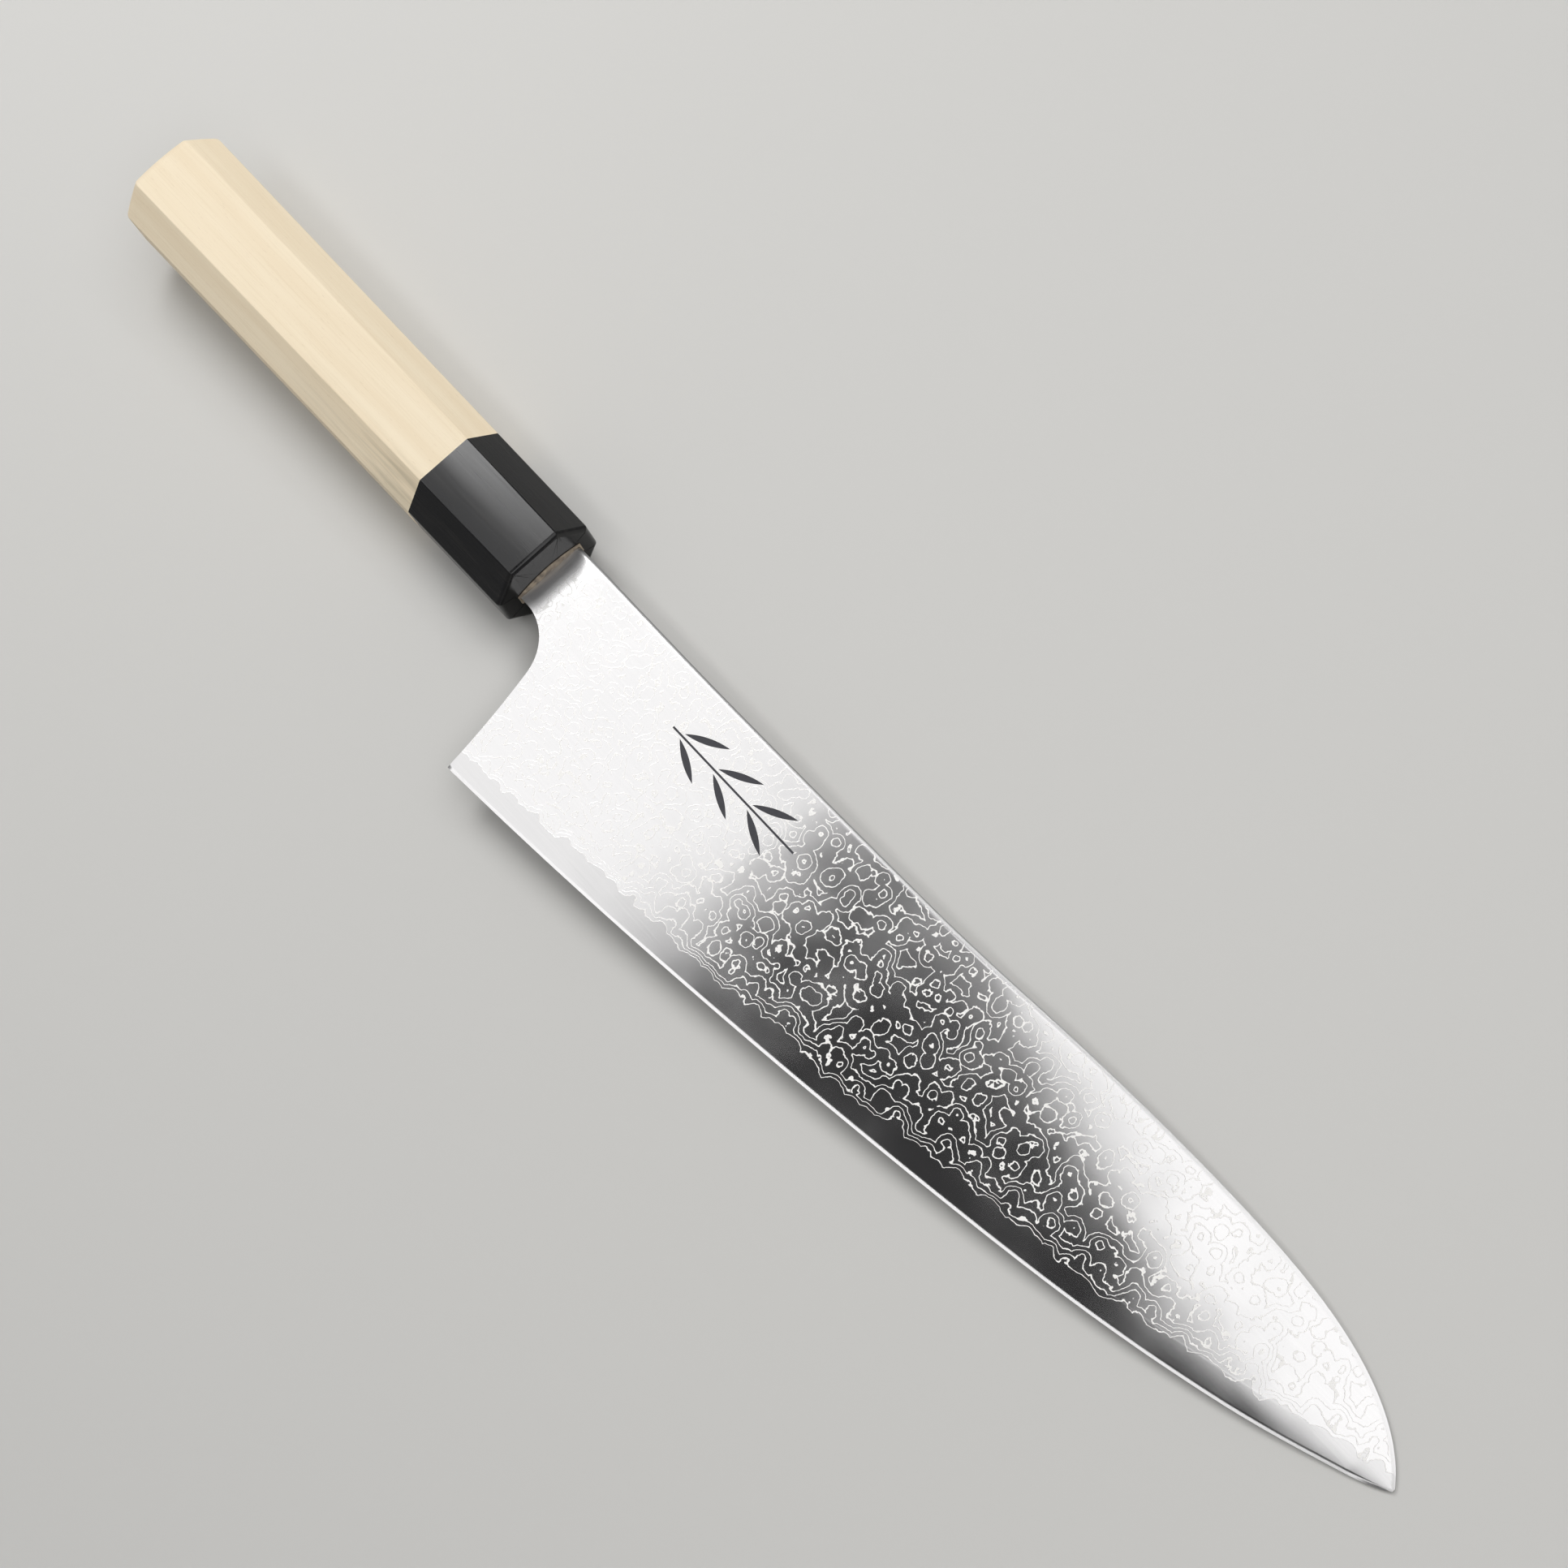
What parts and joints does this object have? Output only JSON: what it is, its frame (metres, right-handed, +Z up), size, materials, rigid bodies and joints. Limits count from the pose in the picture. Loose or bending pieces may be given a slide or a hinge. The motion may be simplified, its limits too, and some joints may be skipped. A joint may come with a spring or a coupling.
{
  "type": "chef knife",
  "caption": "Japanese-style chef knife: tall pointed layered-steel blade with bare core edge, octagonal pale wooden handle and black horn ferrule.",
  "frame": {"origin": "on the surface that the knife is laid on, under the middle of its bounding box, with the handle's axis level", "axes": "+X along the handle's axis towards the tip, +Y from the cutting edge towards the spine, +Z up out of the blade's right side"},
  "size_m": [0.4002, 0.0564, 0.0215],
  "materials": {
    "core_steel": "polished",
    "layered_cladding": "polished",
    "magnolia_wood": "satin",
    "black_horn": "gloss",
    "wood_glue": "satin",
    "tang_adhesive": "satin",
    "neck_seal": "satin"
  },
  "bodies": {
    "root": {"core_steel": "core_steel", "cladding_right": "layered_cladding", "cladding_left": "layered_cladding", "handle_body": "magnolia_wood", "horn_ferrule": "black_horn", "ferrule_glue": "wood_glue", "tang_adhesive": "tang_adhesive", "neck_seal": "neck_seal"}
  },
  "joints": []
}
